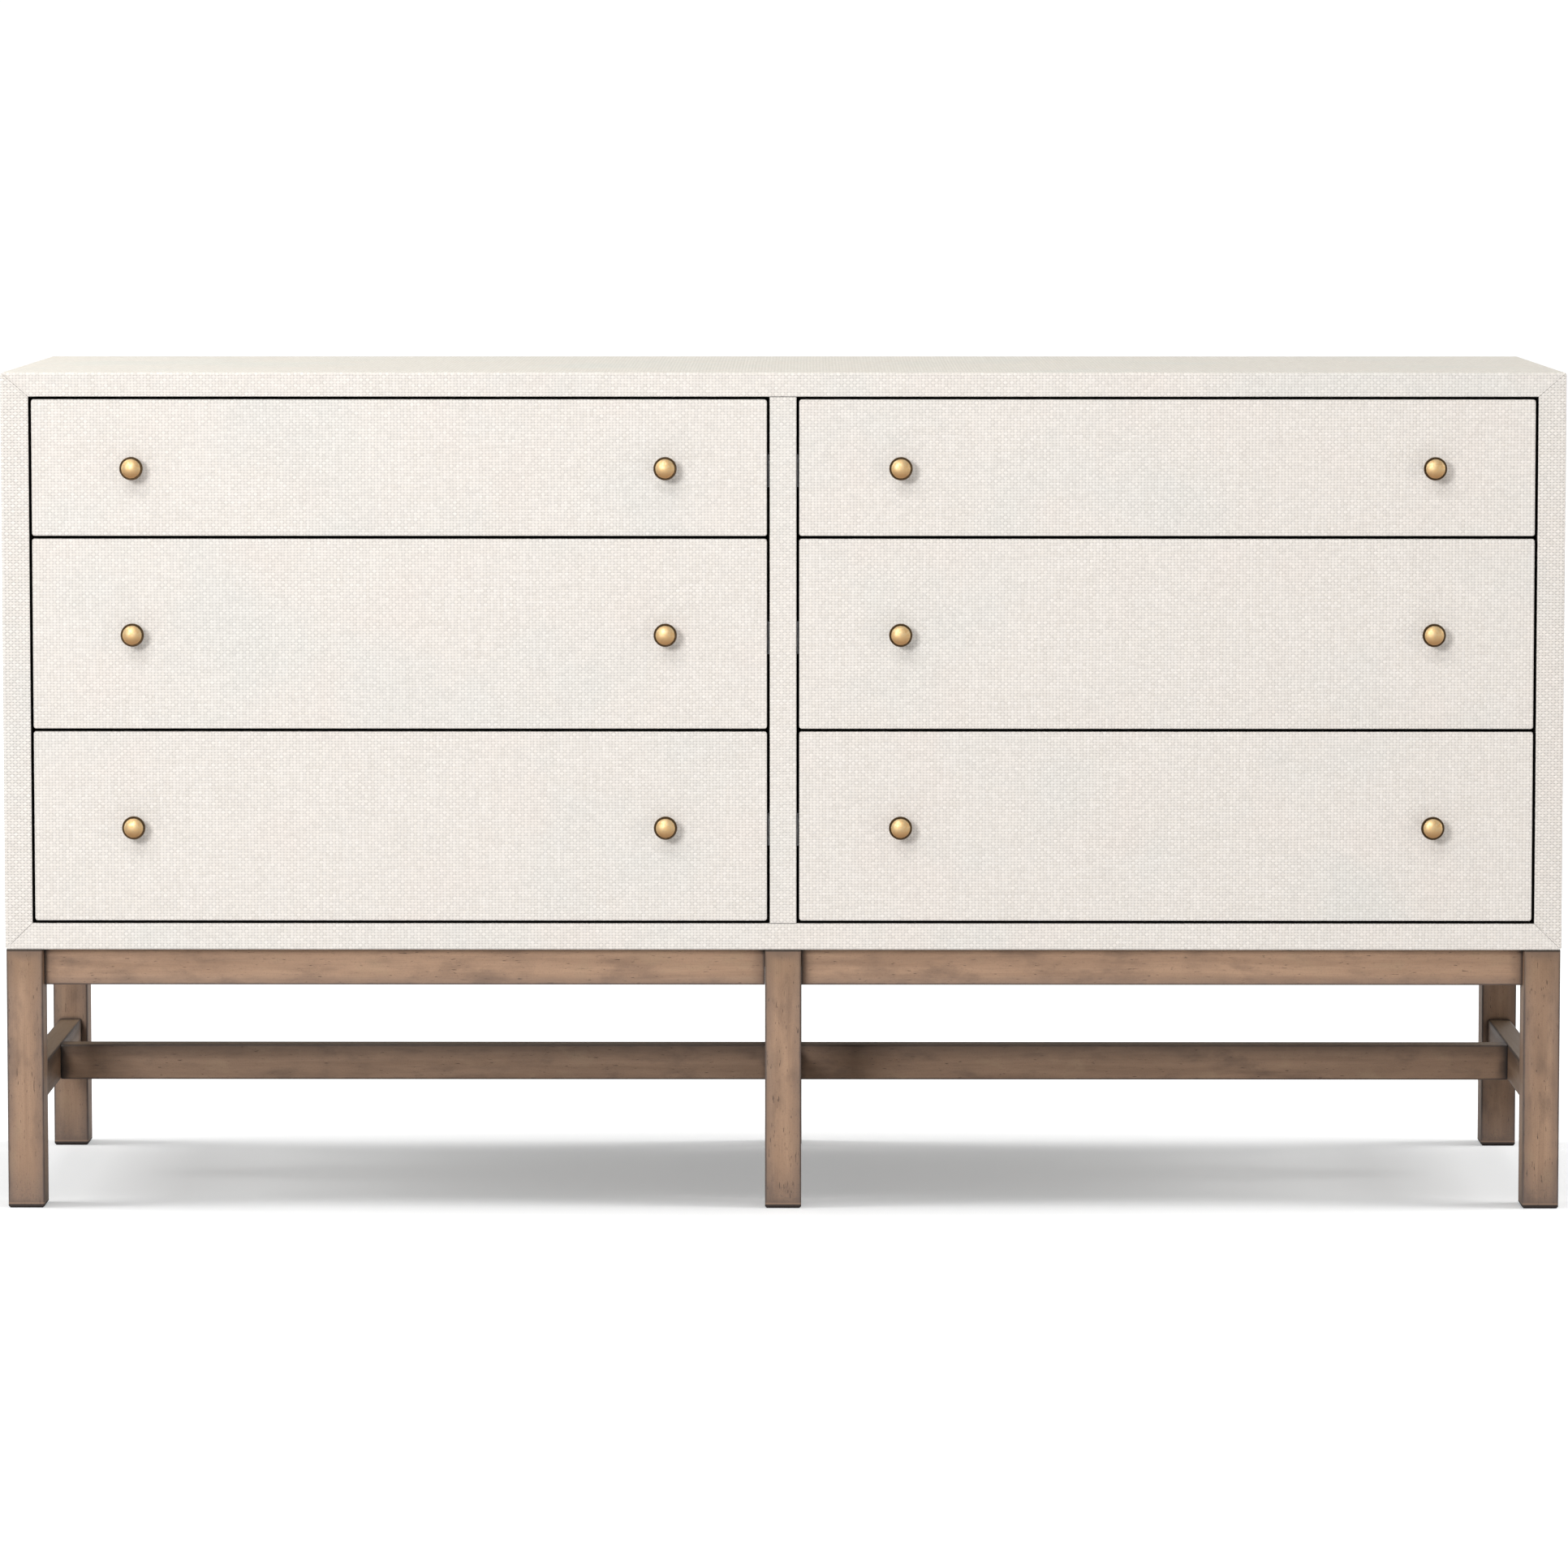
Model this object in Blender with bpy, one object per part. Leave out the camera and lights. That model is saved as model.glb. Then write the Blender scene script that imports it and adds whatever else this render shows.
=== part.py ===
"""A wide dresser: a mitred case wrapped in woven raffia, six flush drawers in two columns,
and an open base of washed hardwood legs, aprons and stretchers.

Metres, +Z up. The origin is on the floor, under the middle of the whole object's box, knobs
included. The front faces -Y and the drawers pull out along -Y.
"""

import math

import bmesh
import bpy
from mathutils import Vector

# Overall size
WIDTH = 1.676
DEPTH = 0.457
HEIGHT = 0.903
BASE_HEIGHT = 0.281
JOINT_GAP = 0.0003

# Case
SIDE_THICKNESS = 0.030
TOP_THICKNESS = 0.026
BOTTOM_THICKNESS = 0.029
DIVIDER_THICKNESS = 0.029
BACK_THICKNESS = 0.006
BACK_SET_IN = 0.006
CASE_CORNER_RADIUS = 0.003
CASE_OUTER_EDGE_RADIUS = 0.002
CASE_INNER_EDGE_RADIUS = 0.001

# Drawers: name of the row, height of its front and height of its box, from the top down
DRAWER_ROWS = (
    ("top", 0.147, 0.110),
    ("middle", 0.205, 0.165),
    ("bottom", 0.205, 0.165),
)
DRAWER_GAP = 0.0025
FRONT_THICKNESS = 0.020
FRONT_CORNER_RADIUS = 0.003
FRONT_EDGE_RADIUS = 0.0015
BOX_DEPTH = 0.400
BOX_WALL = 0.012
BOX_FLOOR = 0.006
BOX_FLOOR_SET_UP = 0.010
BOX_ABOVE_FRONT_EDGE = 0.014

# Drawer slides: the channel of each one that is fixed to the case
SLIDE_SIDE_SPACE = 0.0127
SLIDE_LENGTH = 0.400
SLIDE_HEIGHT = 0.035
SLIDE_CHANNEL_DEPTH = 0.0095
SLIDE_GAUGE = 0.0012
SLIDE_SETBACK = 0.003

# Knobs
KNOB_RADIUS = 0.0125
KNOB_PROJECTION = 0.025
KNOB_INSET = 0.109
KNOB_SEGMENTS = 20
KNOB_DOME_RADIUS = 0.0108
KNOB_DOME_HEIGHT = 0.0058
KNOB_DOME_STEPS = 4
KNOB_RIM_HEIGHT = 0.0018
KNOB_RIM_STEP = 0.0004
KNOB_RIM_ROUNDING = 0.0006
KNOB_FLARE_HEIGHT = 0.0065
KNOB_FLARE_WAIST = 0.0067
KNOB_FLARE_WAIST_BELOW_RIM = 0.0030
KNOB_NECK_RADIUS = 0.0047
KNOB_FOOT_RADIUS = 0.0072
KNOB_FOOT_HEIGHT = 0.0020
KNOB_FOOT_SLOPE = 0.0015

# Base
LEG_SIDE = 0.039
LEG_INSET = 0.001
LEG_EDGE_RADIUS = 0.0015
FOOT_CHAMFER = 0.004
APRON_HEIGHT = 0.040
APRON_THICKNESS = 0.022
APRON_SETBACK = 0.016
RAIL_EDGE_RADIUS = 0.0018
STRETCHER_THICKNESS = 0.025
STRETCHER_HEIGHT = 0.039
STRETCHER_UNDERSIDE = 0.107

# Smoothness of rounded edges
CORNER_SEGMENTS = 3
EDGE_SEGMENTS = 2
SHARP_ANGLE = math.radians(40)

# Closeness at which two points, or two directions' cosine, count as the same
MERGE_DISTANCE = 1e-6
PARALLEL = 0.999

# Places that follow from the sizes above
BACK_Y = (DEPTH + KNOB_PROJECTION) / 2
FRONT_Y = BACK_Y - DEPTH
MIDDLE_Y = (FRONT_Y + BACK_Y) / 2
OPENING_TOP = HEIGHT - TOP_THICKNESS
OPENING_BOTTOM = BASE_HEIGHT + BOTTOM_THICKNESS
OPENING_SIDE = WIDTH / 2 - SIDE_THICKNESS
BACK_PANEL_FRONT_Y = BACK_Y - BACK_SET_IN - BACK_THICKNESS
COLUMN_WIDTH = OPENING_SIDE - DIVIDER_THICKNESS / 2
COLUMN_CENTRES = {
    "left": -(DIVIDER_THICKNESS + COLUMN_WIDTH) / 2,
    "right": (DIVIDER_THICKNESS + COLUMN_WIDTH) / 2,
}
FRONT_WIDTH = COLUMN_WIDTH - 2 * DRAWER_GAP
BOX_WIDTH = COLUMN_WIDTH - 2 * SLIDE_SIDE_SPACE
LEG_CENTRE_X = WIDTH / 2 - LEG_INSET - LEG_SIDE / 2
LEG_FRONT_Y = FRONT_Y + LEG_INSET + LEG_SIDE / 2
LEG_BACK_Y = BACK_Y - LEG_INSET - LEG_SIDE / 2
LEG_COLUMNS = {"left": -LEG_CENTRE_X, "centre": 0.0, "right": LEG_CENTRE_X}


def clear_scene():
    for old in list(bpy.data.objects):
        bpy.data.objects.remove(old, do_unlink=True)


def finish(name, colour, roughness, metallic=0.0):
    """A material whose colour is linear RGB."""
    made = bpy.data.materials.new(name)
    made.use_nodes = True
    shader = made.node_tree.nodes["Principled BSDF"]
    shader.inputs["Base Color"].default_value = (*colour, 1.0)
    shader.inputs["Roughness"].default_value = roughness
    shader.inputs["Metallic"].default_value = metallic
    made.diffuse_color = (*colour, 1.0)
    return made


# Shapes

def block(size):
    """A box of this size, centred on its own origin."""
    bm = bmesh.new()
    bmesh.ops.create_cube(bm, size=1.0)
    bmesh.ops.scale(bm, vec=Vector(size), verts=bm.verts)
    return bm


def edges_where(bm, wanted):
    """The edges whose two ends both satisfy the test."""
    return [edge for edge in bm.edges if all(wanted(vert.co) for vert in edge.verts)]


def runs_along(edge, axis):
    along = edge.verts[1].co - edge.verts[0].co
    return abs(along.normalized()[axis]) > PARALLEL


def round_off(bm, edges, radius, segments):
    bmesh.ops.bevel(
        bm,
        geom=edges,
        offset=radius,
        segments=segments,
        profile=0.5,
        affect="EDGES",
        clamp_overlap=True,
    )


def cut_away(bm, point, outward):
    """Cuts off all that lies beyond a plane, and closes the cut."""
    everything = bm.verts[:] + bm.edges[:] + bm.faces[:]
    cut = bmesh.ops.bisect_plane(
        bm, geom=everything, plane_co=point, plane_no=outward, clear_outer=True
    )
    rim = [part for part in cut["geom_cut"] if isinstance(part, bmesh.types.BMEdge)]
    bmesh.ops.edgeloop_fill(bm, edges=rim)


def hollow(bm, face, margin, depth):
    """Sinks a face into the body, leaving a rim of this width around it."""
    bmesh.ops.inset_individual(bm, faces=[face], thickness=margin)
    inward = -face.normal * depth
    pushed = bmesh.ops.extrude_face_region(bm, geom=[face])
    sunk = [part for part in pushed["geom"] if isinstance(part, bmesh.types.BMVert)]
    bmesh.ops.translate(bm, vec=inward, verts=sunk)
    bm.faces.remove(face)


def turned(profile, segments):
    """A body turned about Z from (radius, height) points that start and end on the axis."""
    bm = bmesh.new()
    points = [bm.verts.new((radius, 0, height)) for radius, height in profile]
    lines = [bm.edges.new(pair) for pair in zip(points, points[1:])]
    bmesh.ops.spin(
        bm,
        geom=points + lines,
        axis=(0, 0, 1),
        cent=(0, 0, 0),
        steps=segments,
        angle=math.tau,
    )
    bmesh.ops.remove_doubles(bm, verts=bm.verts, dist=MERGE_DISTANCE)
    return bm


def extruded(outline, length):
    """A prism along Y, centred on its own origin, from (x, z) points."""
    bm = bmesh.new()
    face = bm.faces.new([bm.verts.new((x, -length / 2, z)) for x, z in outline])
    pushed = bmesh.ops.extrude_face_region(bm, geom=[face])
    far = [part for part in pushed["geom"] if isinstance(part, bmesh.types.BMVert)]
    bmesh.ops.translate(bm, vec=(0, length, 0), verts=far)
    return bm


def mesh_of(name, bm):
    """The mesh of a finished body, facing out, smooth across its rounded edges."""
    bmesh.ops.recalc_face_normals(bm, faces=bm.faces)
    mesh = bpy.data.meshes.new(name)
    bm.to_mesh(mesh)
    bm.free()
    mesh.shade_smooth()
    mesh.set_sharp_from_angle(angle=SHARP_ANGLE)
    return mesh


def place(name, mesh, material, location, parent=None):
    piece = bpy.data.objects.new(name, mesh)
    bpy.context.scene.collection.objects.link(piece)
    if not mesh.materials:
        mesh.materials.append(material)
    piece.location = location
    piece.parent = parent
    return piece


# Case

def case_panel(name, near, far, material):
    """One side of the mitred case. near and far are its two corners, each an (outer, inner)
    pair of (x, z) points, and the mitres run from outer to inner point."""
    xs = [point[0] for corner in (near, far) for point in corner]
    zs = [point[1] for corner in (near, far) for point in corner]
    middle = Vector(((min(xs) + max(xs)) / 2, MIDDLE_Y, (min(zs) + max(zs)) / 2))
    bm = block((max(xs) - min(xs), DEPTH, max(zs) - min(zs)))
    outer_middle = Vector((near[0][0] + far[0][0], 0, near[0][1] + far[0][1])) / 2
    outward = outer_middle - Vector((middle.x, 0, middle.z))

    corners = [
        edge
        for edge in edges_where(bm, lambda co: co.dot(outward) > 0)
        if runs_along(edge, 1)
    ]
    round_off(bm, corners, CASE_CORNER_RADIUS, CORNER_SEGMENTS)
    for radius, side in ((CASE_OUTER_EDGE_RADIUS, 1), (CASE_INNER_EDGE_RADIUS, -1)):
        rim = [
            edge
            for edge in bm.edges
            if abs(abs(edge.verts[0].co.y) - DEPTH / 2) < MERGE_DISTANCE
            and abs(edge.verts[0].co.y - edge.verts[1].co.y) < MERGE_DISTANCE
            and sum((vert.co.dot(outward) for vert in edge.verts)) * side > 0
            and abs((edge.verts[0].co - edge.verts[1].co).dot(outward)) < outward.length_squared
        ]
        round_off(bm, rim, radius, EDGE_SEGMENTS)

    for outer, inner in (near, far):
        along = Vector((inner[0] - outer[0], 0, inner[1] - outer[1]))
        away = Vector((-along.z, 0, along.x)).normalized()
        point = Vector((outer[0], MIDDLE_Y, outer[1])) - middle
        if away.dot(point) < 0:
            away = -away
        cut_away(bm, point - away * JOINT_GAP / 2, away)
    return place(name, mesh_of(name, bm), material, middle)


def build_case(cover, board):
    half = WIDTH / 2
    corners = (
        ((-half, HEIGHT), (-OPENING_SIDE, OPENING_TOP)),
        ((half, HEIGHT), (OPENING_SIDE, OPENING_TOP)),
        ((half, BASE_HEIGHT), (OPENING_SIDE, OPENING_BOTTOM)),
        ((-half, BASE_HEIGHT), (-OPENING_SIDE, OPENING_BOTTOM)),
    )
    names = ("top_panel", "right_side_panel", "bottom_panel", "left_side_panel")
    for name, near, far in zip(names, corners, corners[1:] + corners[:1]):
        case_panel(name, near, far, cover)

    inside_height = OPENING_TOP - OPENING_BOTTOM - 2 * JOINT_GAP
    inside_middle_z = (OPENING_TOP + OPENING_BOTTOM) / 2
    divider_depth = BACK_PANEL_FRONT_Y - JOINT_GAP - FRONT_Y
    divider = block((DIVIDER_THICKNESS, divider_depth, inside_height))
    front_edges = [
        edge
        for edge in edges_where(divider, lambda co: co.y < 0)
        if runs_along(edge, 2)
    ]
    round_off(divider, front_edges, CASE_INNER_EDGE_RADIUS, EDGE_SEGMENTS)
    place(
        "centre_divider",
        mesh_of("centre_divider", divider),
        cover,
        (0, FRONT_Y + divider_depth / 2, inside_middle_z),
    )

    back = block((2 * (OPENING_SIDE - JOINT_GAP), BACK_THICKNESS, inside_height))
    place(
        "back_panel",
        mesh_of("back_panel", back),
        board,
        (0, BACK_PANEL_FRONT_Y + BACK_THICKNESS / 2, inside_middle_z),
    )


# Base

def leg_mesh():
    """A square leg that stands on its own origin, with a chamfered foot."""
    height = BASE_HEIGHT - JOINT_GAP
    bm = block((LEG_SIDE, LEG_SIDE, height))
    bmesh.ops.translate(bm, vec=(0, 0, height / 2), verts=bm.verts)
    upright = [edge for edge in bm.edges if runs_along(edge, 2)]
    round_off(bm, upright, LEG_EDGE_RADIUS, EDGE_SEGMENTS)
    foot = edges_where(bm, lambda co: co.z < MERGE_DISTANCE)
    round_off(bm, foot, FOOT_CHAMFER, 1)
    return mesh_of("leg", bm)


def bar(name, low, high, long_axis, material):
    """A straight rail from its lowest to its highest corner, with its four long edges eased."""
    low, high = Vector(low), Vector(high)
    bm = block(high - low)
    long_edges = [edge for edge in bm.edges if runs_along(edge, long_axis)]
    round_off(bm, long_edges, RAIL_EDGE_RADIUS, EDGE_SEGMENTS)
    return place(name, mesh_of(name, bm), material, (low + high) / 2)


def build_base(wood):
    leg = leg_mesh()
    for row, y in (("front", LEG_FRONT_Y), ("back", LEG_BACK_Y)):
        for column, x in LEG_COLUMNS.items():
            place(f"{row}_{column}_leg", leg, wood, (x, y, 0))

    top = BASE_HEIGHT - JOINT_GAP
    reach = LEG_SIDE / 2 + JOINT_GAP
    spans = {
        "left": (-LEG_CENTRE_X + reach, -reach),
        "right": (reach, LEG_CENTRE_X - reach),
    }
    apron_fronts = {
        "front": FRONT_Y + LEG_INSET + APRON_SETBACK,
        "back": BACK_Y - LEG_INSET - APRON_SETBACK - APRON_THICKNESS,
    }
    for row, y in apron_fronts.items():
        for side, (start, end) in spans.items():
            bar(
                f"{row}_{side}_apron",
                (start, y, top - APRON_HEIGHT),
                (end, y + APRON_THICKNESS, top),
                0,
                wood,
            )

    outer_rail_x = WIDTH / 2 - LEG_INSET - APRON_SETBACK - APRON_THICKNESS / 2
    cross_rails = {"left": -outer_rail_x, "centre": 0.0, "right": outer_rail_x}
    near, far = LEG_FRONT_Y + reach, LEG_BACK_Y - reach
    for column, x in cross_rails.items():
        bar(
            f"{column}_cross_rail",
            (x - APRON_THICKNESS / 2, near, top - APRON_HEIGHT),
            (x + APRON_THICKNESS / 2, far, top),
            1,
            wood,
        )

    low = STRETCHER_UNDERSIDE
    high = low + STRETCHER_HEIGHT
    half = STRETCHER_THICKNESS / 2
    for column, x in LEG_COLUMNS.items():
        bar(
            f"{column}_cross_stretcher",
            (x - half, near, low),
            (x + half, far, high),
            1,
            wood,
        )
    for side, direction in (("left", -1), ("right", 1)):
        ends = sorted(
            (direction * (half + JOINT_GAP), direction * (LEG_CENTRE_X - half - JOINT_GAP))
        )
        bar(
            f"{side}_long_stretcher",
            (ends[0], MIDDLE_Y - half, low),
            (ends[1], MIDDLE_Y + half, high),
            0,
            wood,
        )


# Drawers

def front_mesh(name, height):
    bm = block((FRONT_WIDTH, FRONT_THICKNESS, height))
    corners = [edge for edge in bm.edges if runs_along(edge, 1)]
    round_off(bm, corners, FRONT_CORNER_RADIUS, CORNER_SEGMENTS)
    front_rim = edges_where(bm, lambda co: co.y < MERGE_DISTANCE - FRONT_THICKNESS / 2)
    round_off(bm, front_rim, FRONT_EDGE_RADIUS, EDGE_SEGMENTS)
    return mesh_of(name, bm)


def box_mesh(name, height):
    """An open-topped drawer box whose floor is let into its walls above their lower edges."""
    bm = block((BOX_WIDTH, BOX_DEPTH, height))
    top = max(bm.faces, key=lambda face: face.calc_center_median().z)
    hollow(bm, top, BOX_WALL, height - BOX_FLOOR_SET_UP - BOX_FLOOR)
    bottom = min(bm.faces, key=lambda face: face.calc_center_median().z)
    hollow(bm, bottom, BOX_WALL, BOX_FLOOR_SET_UP)
    return mesh_of(name, bm)


def knob_mesh():
    """A button knob turned about Z, standing on its own origin."""
    dome_base = KNOB_PROJECTION - KNOB_DOME_HEIGHT
    rim_top = dome_base - KNOB_RIM_STEP
    rim_underside = rim_top - KNOB_RIM_HEIGHT
    stem = [
        (0, JOINT_GAP),
        (KNOB_FOOT_RADIUS, JOINT_GAP),
        (KNOB_FOOT_RADIUS, KNOB_FOOT_HEIGHT),
        (KNOB_NECK_RADIUS, KNOB_FOOT_HEIGHT + KNOB_FOOT_SLOPE),
        (KNOB_NECK_RADIUS, rim_underside - KNOB_FLARE_HEIGHT),
        (KNOB_FLARE_WAIST, rim_underside - KNOB_FLARE_WAIST_BELOW_RIM),
        (KNOB_RADIUS - KNOB_RIM_ROUNDING, rim_underside - KNOB_RIM_ROUNDING),
    ]
    rim = [
        (KNOB_RADIUS, rim_underside),
        (KNOB_RADIUS, rim_top),
        (KNOB_DOME_RADIUS, dome_base),
    ]
    dome = [
        (
            KNOB_DOME_RADIUS * math.cos(turn),
            dome_base + KNOB_DOME_HEIGHT * math.sin(turn),
        )
        for turn in (
            math.pi / 2 * step / KNOB_DOME_STEPS for step in range(1, KNOB_DOME_STEPS)
        )
    ]
    bm = turned(stem + rim + dome + [(0, KNOB_PROJECTION)], KNOB_SEGMENTS)
    return mesh_of("knob", bm)


def slide_mesh(name, opens_to):
    """A steel channel along Y, its web on the origin's plane and its flanges towards opens_to."""
    half = SLIDE_HEIGHT / 2
    web, lip = opens_to * SLIDE_GAUGE, opens_to * SLIDE_CHANNEL_DEPTH
    inside = half - SLIDE_GAUGE
    outline = [
        (0, -half),
        (lip, -half),
        (lip, -inside),
        (web, -inside),
        (web, inside),
        (lip, inside),
        (lip, half),
        (0, half),
    ]
    return mesh_of(name, extruded(outline, SLIDE_LENGTH))


def build_drawers(cover, box_wood, brass, steel):
    knob = knob_mesh()
    slides = {
        "left": slide_mesh("left_slide", 1),
        "right": slide_mesh("right_slide", -1),
    }
    slide_y = FRONT_Y + FRONT_THICKNESS + SLIDE_SETBACK + SLIDE_LENGTH / 2
    front_top = OPENING_TOP - DRAWER_GAP
    for row, front_height, box_height in DRAWER_ROWS:
        front = front_mesh(f"{row}_front", front_height)
        box = box_mesh(f"{row}_box", box_height)
        front_bottom = front_top - front_height
        front_middle = front_top - front_height / 2
        box_middle = front_bottom + BOX_ABOVE_FRONT_EDGE + box_height / 2
        for column, x in COLUMN_CENTRES.items():
            drawer = f"{row}_{column}"
            carrier = bpy.data.objects.new(f"{drawer}_drawer_axis", None)
            bpy.context.scene.collection.objects.link(carrier)
            carrier.location = (x, FRONT_Y, front_middle)
            place(
                f"{drawer}_drawer_front",
                front,
                cover,
                (0, FRONT_THICKNESS / 2, 0),
                carrier,
            )
            place(
                f"{drawer}_drawer_box",
                box,
                box_wood,
                (0, FRONT_THICKNESS + JOINT_GAP + BOX_DEPTH / 2, box_middle - front_middle),
                carrier,
            )
            for side, direction in (("left", -1), ("right", 1)):
                reach = direction * (FRONT_WIDTH / 2 - KNOB_INSET)
                fitted = place(f"{drawer}_knob_{side}", knob, brass, (reach, 0, 0), carrier)
                fitted.rotation_euler = (math.pi / 2, 0, 0)
                wall = x + direction * (COLUMN_WIDTH / 2 - JOINT_GAP)
                place(
                    f"{drawer}_slide_{side}",
                    slides[side],
                    steel,
                    (wall, slide_y, box_middle),
                )
        front_top = front_bottom - DRAWER_GAP


def main():
    clear_scene()
    cover = finish("woven_raffia", (0.83, 0.77, 0.70), 0.75)
    washed_wood = finish("washed_hardwood", (0.36, 0.22, 0.14), 0.50)
    box_wood = finish("drawer_box_wood", (0.60, 0.42, 0.25), 0.55)
    board = finish("back_board", (0.24, 0.16, 0.10), 0.65)
    brass = finish("antique_brass", (0.60, 0.42, 0.18), 0.32, 1.0)
    steel = finish("zinc_steel", (0.62, 0.63, 0.65), 0.35, 1.0)
    build_case(cover, board)
    build_base(washed_wood)
    build_drawers(cover, box_wood, brass, steel)
    bpy.context.view_layer.update()


main()
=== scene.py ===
"""The looks of a wide dresser: cream raffia weave over the case and drawer fronts, washed wood
on the base, antique brass knobs, and the drawer boxes and slides inside.

Metres, +Z up, front facing -Y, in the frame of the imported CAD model.
"""

import math

import bmesh
import bpy
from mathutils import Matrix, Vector


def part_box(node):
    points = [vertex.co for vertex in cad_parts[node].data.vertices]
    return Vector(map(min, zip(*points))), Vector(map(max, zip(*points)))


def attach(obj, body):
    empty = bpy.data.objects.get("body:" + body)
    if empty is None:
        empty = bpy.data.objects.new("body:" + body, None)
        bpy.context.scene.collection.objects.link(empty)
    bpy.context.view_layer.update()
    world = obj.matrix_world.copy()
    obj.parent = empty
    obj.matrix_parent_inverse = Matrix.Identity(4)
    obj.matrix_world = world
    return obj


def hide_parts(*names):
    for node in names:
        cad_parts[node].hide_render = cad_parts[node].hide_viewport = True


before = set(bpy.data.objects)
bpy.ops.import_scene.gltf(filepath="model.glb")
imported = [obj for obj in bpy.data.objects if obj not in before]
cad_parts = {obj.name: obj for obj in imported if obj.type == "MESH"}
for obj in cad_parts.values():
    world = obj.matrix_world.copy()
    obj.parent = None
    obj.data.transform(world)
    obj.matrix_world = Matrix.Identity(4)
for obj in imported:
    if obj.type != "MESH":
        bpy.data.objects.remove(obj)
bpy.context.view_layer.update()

ROWS = ("top", "middle", "bottom")
COLUMNS = ("left", "right")
DRAWERS = [f"{row}_{column}" for row in ROWS for column in COLUMNS]
X, Y, Z = 0, 1, 2
OTHER_AXES = {X: (Y, Z), Y: (X, Z), Z: (X, Y)}
CASE_PANELS = ("top_panel", "left_side_panel", "right_side_panel", "bottom_panel")

case_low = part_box("left_side_panel")[0]
case_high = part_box("right_side_panel")[1]
FRONT_Y = case_low.y
BACK_Y = case_high.y
CASE_BOTTOM = case_low.z
CASE_TOP = case_high.z
INSIDE_HALF_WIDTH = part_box("right_side_panel")[0].x
INSIDE_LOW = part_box("centre_divider")[0].z
INSIDE_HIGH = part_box("centre_divider")[1].z

# Camera, measured from the middle of the case's front face on the floor
CAMERA_DISTANCE = 6.72
CAMERA_SIDE = 0.026
CAMERA_HEIGHT = 1.175
CAMERA_LENS = 144.3
CAMERA_DOWN = math.radians(4.22)
CAMERA_TURN = math.radians(0.213)
CAMERA_SHIFT_Y = -0.1293

# Light, as the brightness it gives a white surface that faces it
WORLD_LIGHT, WORLD_SEEN = 0.34, 1.05
OVERHEAD_LIGHT = 0.07
OVERHEAD_SPREAD = math.radians(48)
OVERHEAD_LEAN = math.radians(6)
FLOOR_SIZE = 24.0
FLOOR_LIFT = 0.26
FLOOR_SEEN, FLOOR_BOUNCE = 0.80, 0.48
FLOOR_GLOW = (0.965, 1.0, 1.02, 1.0)
# The floor's own lights: lean to one side in degrees, and the brightness each gives the floor
FLOOR_LIGHTS = ((-56, 0.272), (-40, 0.156), (0, 0.185), (40, 0.156), (56, 0.272))
FLOOR_LIGHT_SPREAD = math.radians(24)
# Softboxes: name, place, what it points at, width, height, brightness there, colour
MIDDLE = (0.0, FRONT_Y, 0.55)
WHITE, WARM = (1.0, 1.0, 1.0), (1.0, 0.86, 0.72)
SOFTBOXES = (
    ("key", (-2.1, -5.3, 2.2), MIDDLE, 1.3, 1.3, 0.47, WHITE),
    ("upper_front", (-1.2, -3.6, 4.2), MIDDLE, 3.2, 1.6, 0.25, WHITE),
    ("upper_left", (-2.2, 0.0, 2.6), (-0.6, 0.0, CASE_TOP), 1.0, 1.0, 0.46, WHITE),
    ("warm_fill", (3.6, -3.4, 1.3), MIDDLE, 0.7, 1.6, 0.05, WARM),
    ("rear_fill", (3.0, 4.4, 3.2), (0.0, BACK_Y, 0.5), 2.4, 1.6, 0.26, WHITE),
    ("right_fill", (4.2, 0.3, 1.5), (case_high.x, 0.0, 0.6), 1.6, 1.6, 0.26, WHITE),
    ("left_fill", (-4.2, 0.3, 1.5), (case_low.x, 0.0, 0.6), 1.6, 1.6, 0.14, WHITE),
)

# Raffia weave
WARP_PITCH = 0.0035
WEFT_PITCH = 0.0030
STRAND_WANDER = 0.0011
WEAVE_RELIEF = 0.00035
TURNED_IN = 0.022
PANEL_CLEARANCE = 0.0003
# Painted light: level faces are tinted a little darker and yellower, for how the light falls on
# the top
LEVEL_LIGHT_TINT = (0.993, 1.0, 0.962, 1.0)
GAP_SHADE_REACH = 0.0065

# Washed wood: five shades that follow a member's tone, five that don't, and the painted light
# tone by kind
WOOD_PALE = (0.438, 0.278, 0.181)
WOOD_MIDDLE = (0.350, 0.217, 0.139)
WOOD_DARK = (0.160, 0.103, 0.073)
WOOD_INK = (0.030, 0.020, 0.017)
WOOD_RIM = (0.085, 0.066, 0.060)
WOOD_OLIVE = (0.400, 0.285, 0.180, 1.0)
WOOD_EDGE_DARK = (0.160, 0.118, 0.100, 1.0)
# Painted shade on the legs just under the case
WOOD_CASE_SHADE = (0.200, 0.115, 0.056, 1.0)
WOOD_FOOT_DARK = (0.125, 0.098, 0.090, 1.0)
# Painted shade in narrow corners and just under the case
WOOD_CREVICE_SHADE = (0.012, 0.009, 0.008, 1.0)
# A member darker than this stands in the case's shade, with painted shade along its upper edge
# and painted light on its top face
SHADED_TONE = 0.8
# Painted light and shade: the low stretchers and back legs darker for the shade they stand in,
# the front right leg a little darker, the aprons a little lighter
WOOD_LIGHT_TONES = {"stretcher": 0.71, "apron": 1.05, "front_right_leg": 0.93, "back": 0.86}

# Knobs, measured out from the drawer front
KNOB_SEGMENTS = 64
KNOB_HEIGHT = 0.025
KNOB_LIFT = 0.0003
KNOB_RADIUS = 0.0125
KNOB_DOME_RADIUS = 0.0107
KNOB_LEDGE_HEIGHT = 0.0190
KNOB_RIM_HEIGHT = 0.0018
KNOB_FOOT_RADIUS = 0.0072

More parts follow.
